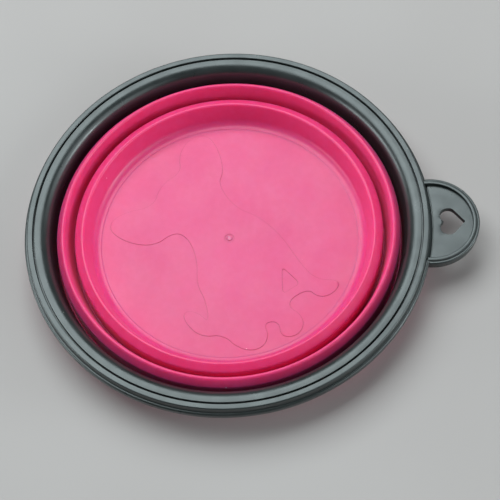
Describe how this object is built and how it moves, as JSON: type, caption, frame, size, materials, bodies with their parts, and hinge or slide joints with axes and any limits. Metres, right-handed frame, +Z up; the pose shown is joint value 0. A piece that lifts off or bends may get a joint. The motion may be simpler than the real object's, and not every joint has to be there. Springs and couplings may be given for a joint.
{
  "type": "collapsible silicone bowl",
  "caption": "Round collapsible pet bowl in soft silicone, folded flat inside a stiff rim that carries a hanging tab with a heart-shaped hole.",
  "frame": {"origin": "centre of the underside of the base, on the bowl's axis, where the bowl stands on a table", "axes": "+Z up along the bowl's axis and the way the folds open, +X towards the hanging tab"},
  "size_m": [0.1449, 0.13, 0.0148],
  "materials": {
    "silicone": "smooth satin hot-pink silicone",
    "rim_plastic": "satin charcoal moulded plastic"
  },
  "bodies": {
    "base": {"base_cup": "silicone", "inner_fold_web": "silicone"},
    "middle": {"middle_ring": "silicone", "outer_fold_web": "silicone"},
    "rim": {"top_collar": "silicone", "rim_frame": "rim_plastic", "rim_clamp_ring": "rim_plastic"}
  },
  "joints": [
    {"name": "inner_fold", "type": "slide", "parent": "base", "child": "middle", "axis": [0, 0, 1], "range_m": [0, 0.015], "deforming": ["inner_fold_web"]},
    {"name": "outer_fold", "type": "slide", "parent": "middle", "child": "rim", "axis": [0, 0, 1], "range_m": [0, 0.02], "deforming": ["outer_fold_web"]}
  ]
}
